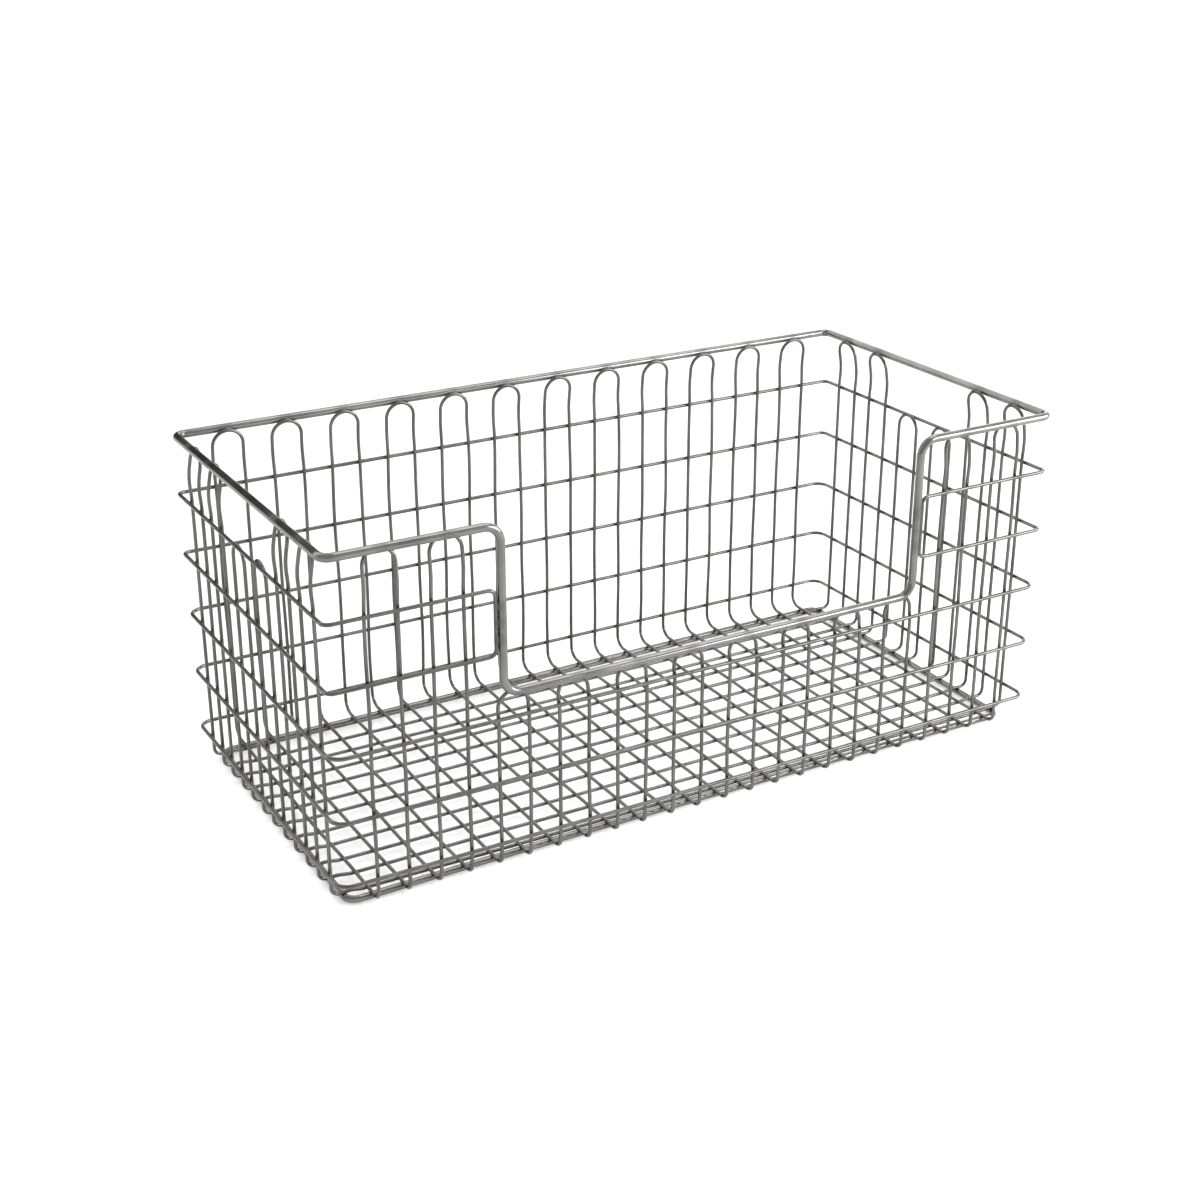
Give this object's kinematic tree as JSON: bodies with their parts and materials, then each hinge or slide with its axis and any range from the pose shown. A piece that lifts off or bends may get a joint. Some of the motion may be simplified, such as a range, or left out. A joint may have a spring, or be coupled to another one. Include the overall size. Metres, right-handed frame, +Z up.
{
  "type": "sterilization basket",
  "caption": "Rectangular welded-wire sterilization basket with a thick rim, a wide cut-out in its front side, hand-hold gaps at its ends and a grid floor on a base frame.",
  "frame": {"origin": "middle of the surface the basket stands on, at the underside of the base frame", "axes": "+X along the basket, +Y from the front side with the cut-out to the back, +Z up"},
  "size_m": [0.5856, 0.285, 0.2572],
  "materials": {
    "grid_steel": "satin drawn stainless wire, darker at the welds",
    "frame_steel": "smoother, brighter drawn stainless wire"
  },
  "bodies": {
    "root": {"rim_wire": "frame_steel", "base_frame": "frame_steel", "upper_twin_ring": "grid_steel", "middle_ring": "grid_steel", "lower_ring": "grid_steel", "bottom_ring": "grid_steel", "cross_loop_01": "grid_steel", "cross_loop_02": "grid_steel", "cross_loop_03": "grid_steel", "cross_loop_04": "grid_steel", "cross_loop_05": "grid_steel", "cross_loop_06": "grid_steel", "cross_loop_07": "grid_steel", "cross_loop_08": "grid_steel", "cross_loop_09": "grid_steel", "cross_loop_10": "grid_steel", "cross_loop_11": "grid_steel", "cross_loop_12": "grid_steel", "long_loop_1": "grid_steel", "long_loop_2": "grid_steel", "long_loop_3": "grid_steel", "long_loop_4": "grid_steel", "long_loop_5": "grid_steel", "long_loop_6": "grid_steel"}
  },
  "joints": []
}
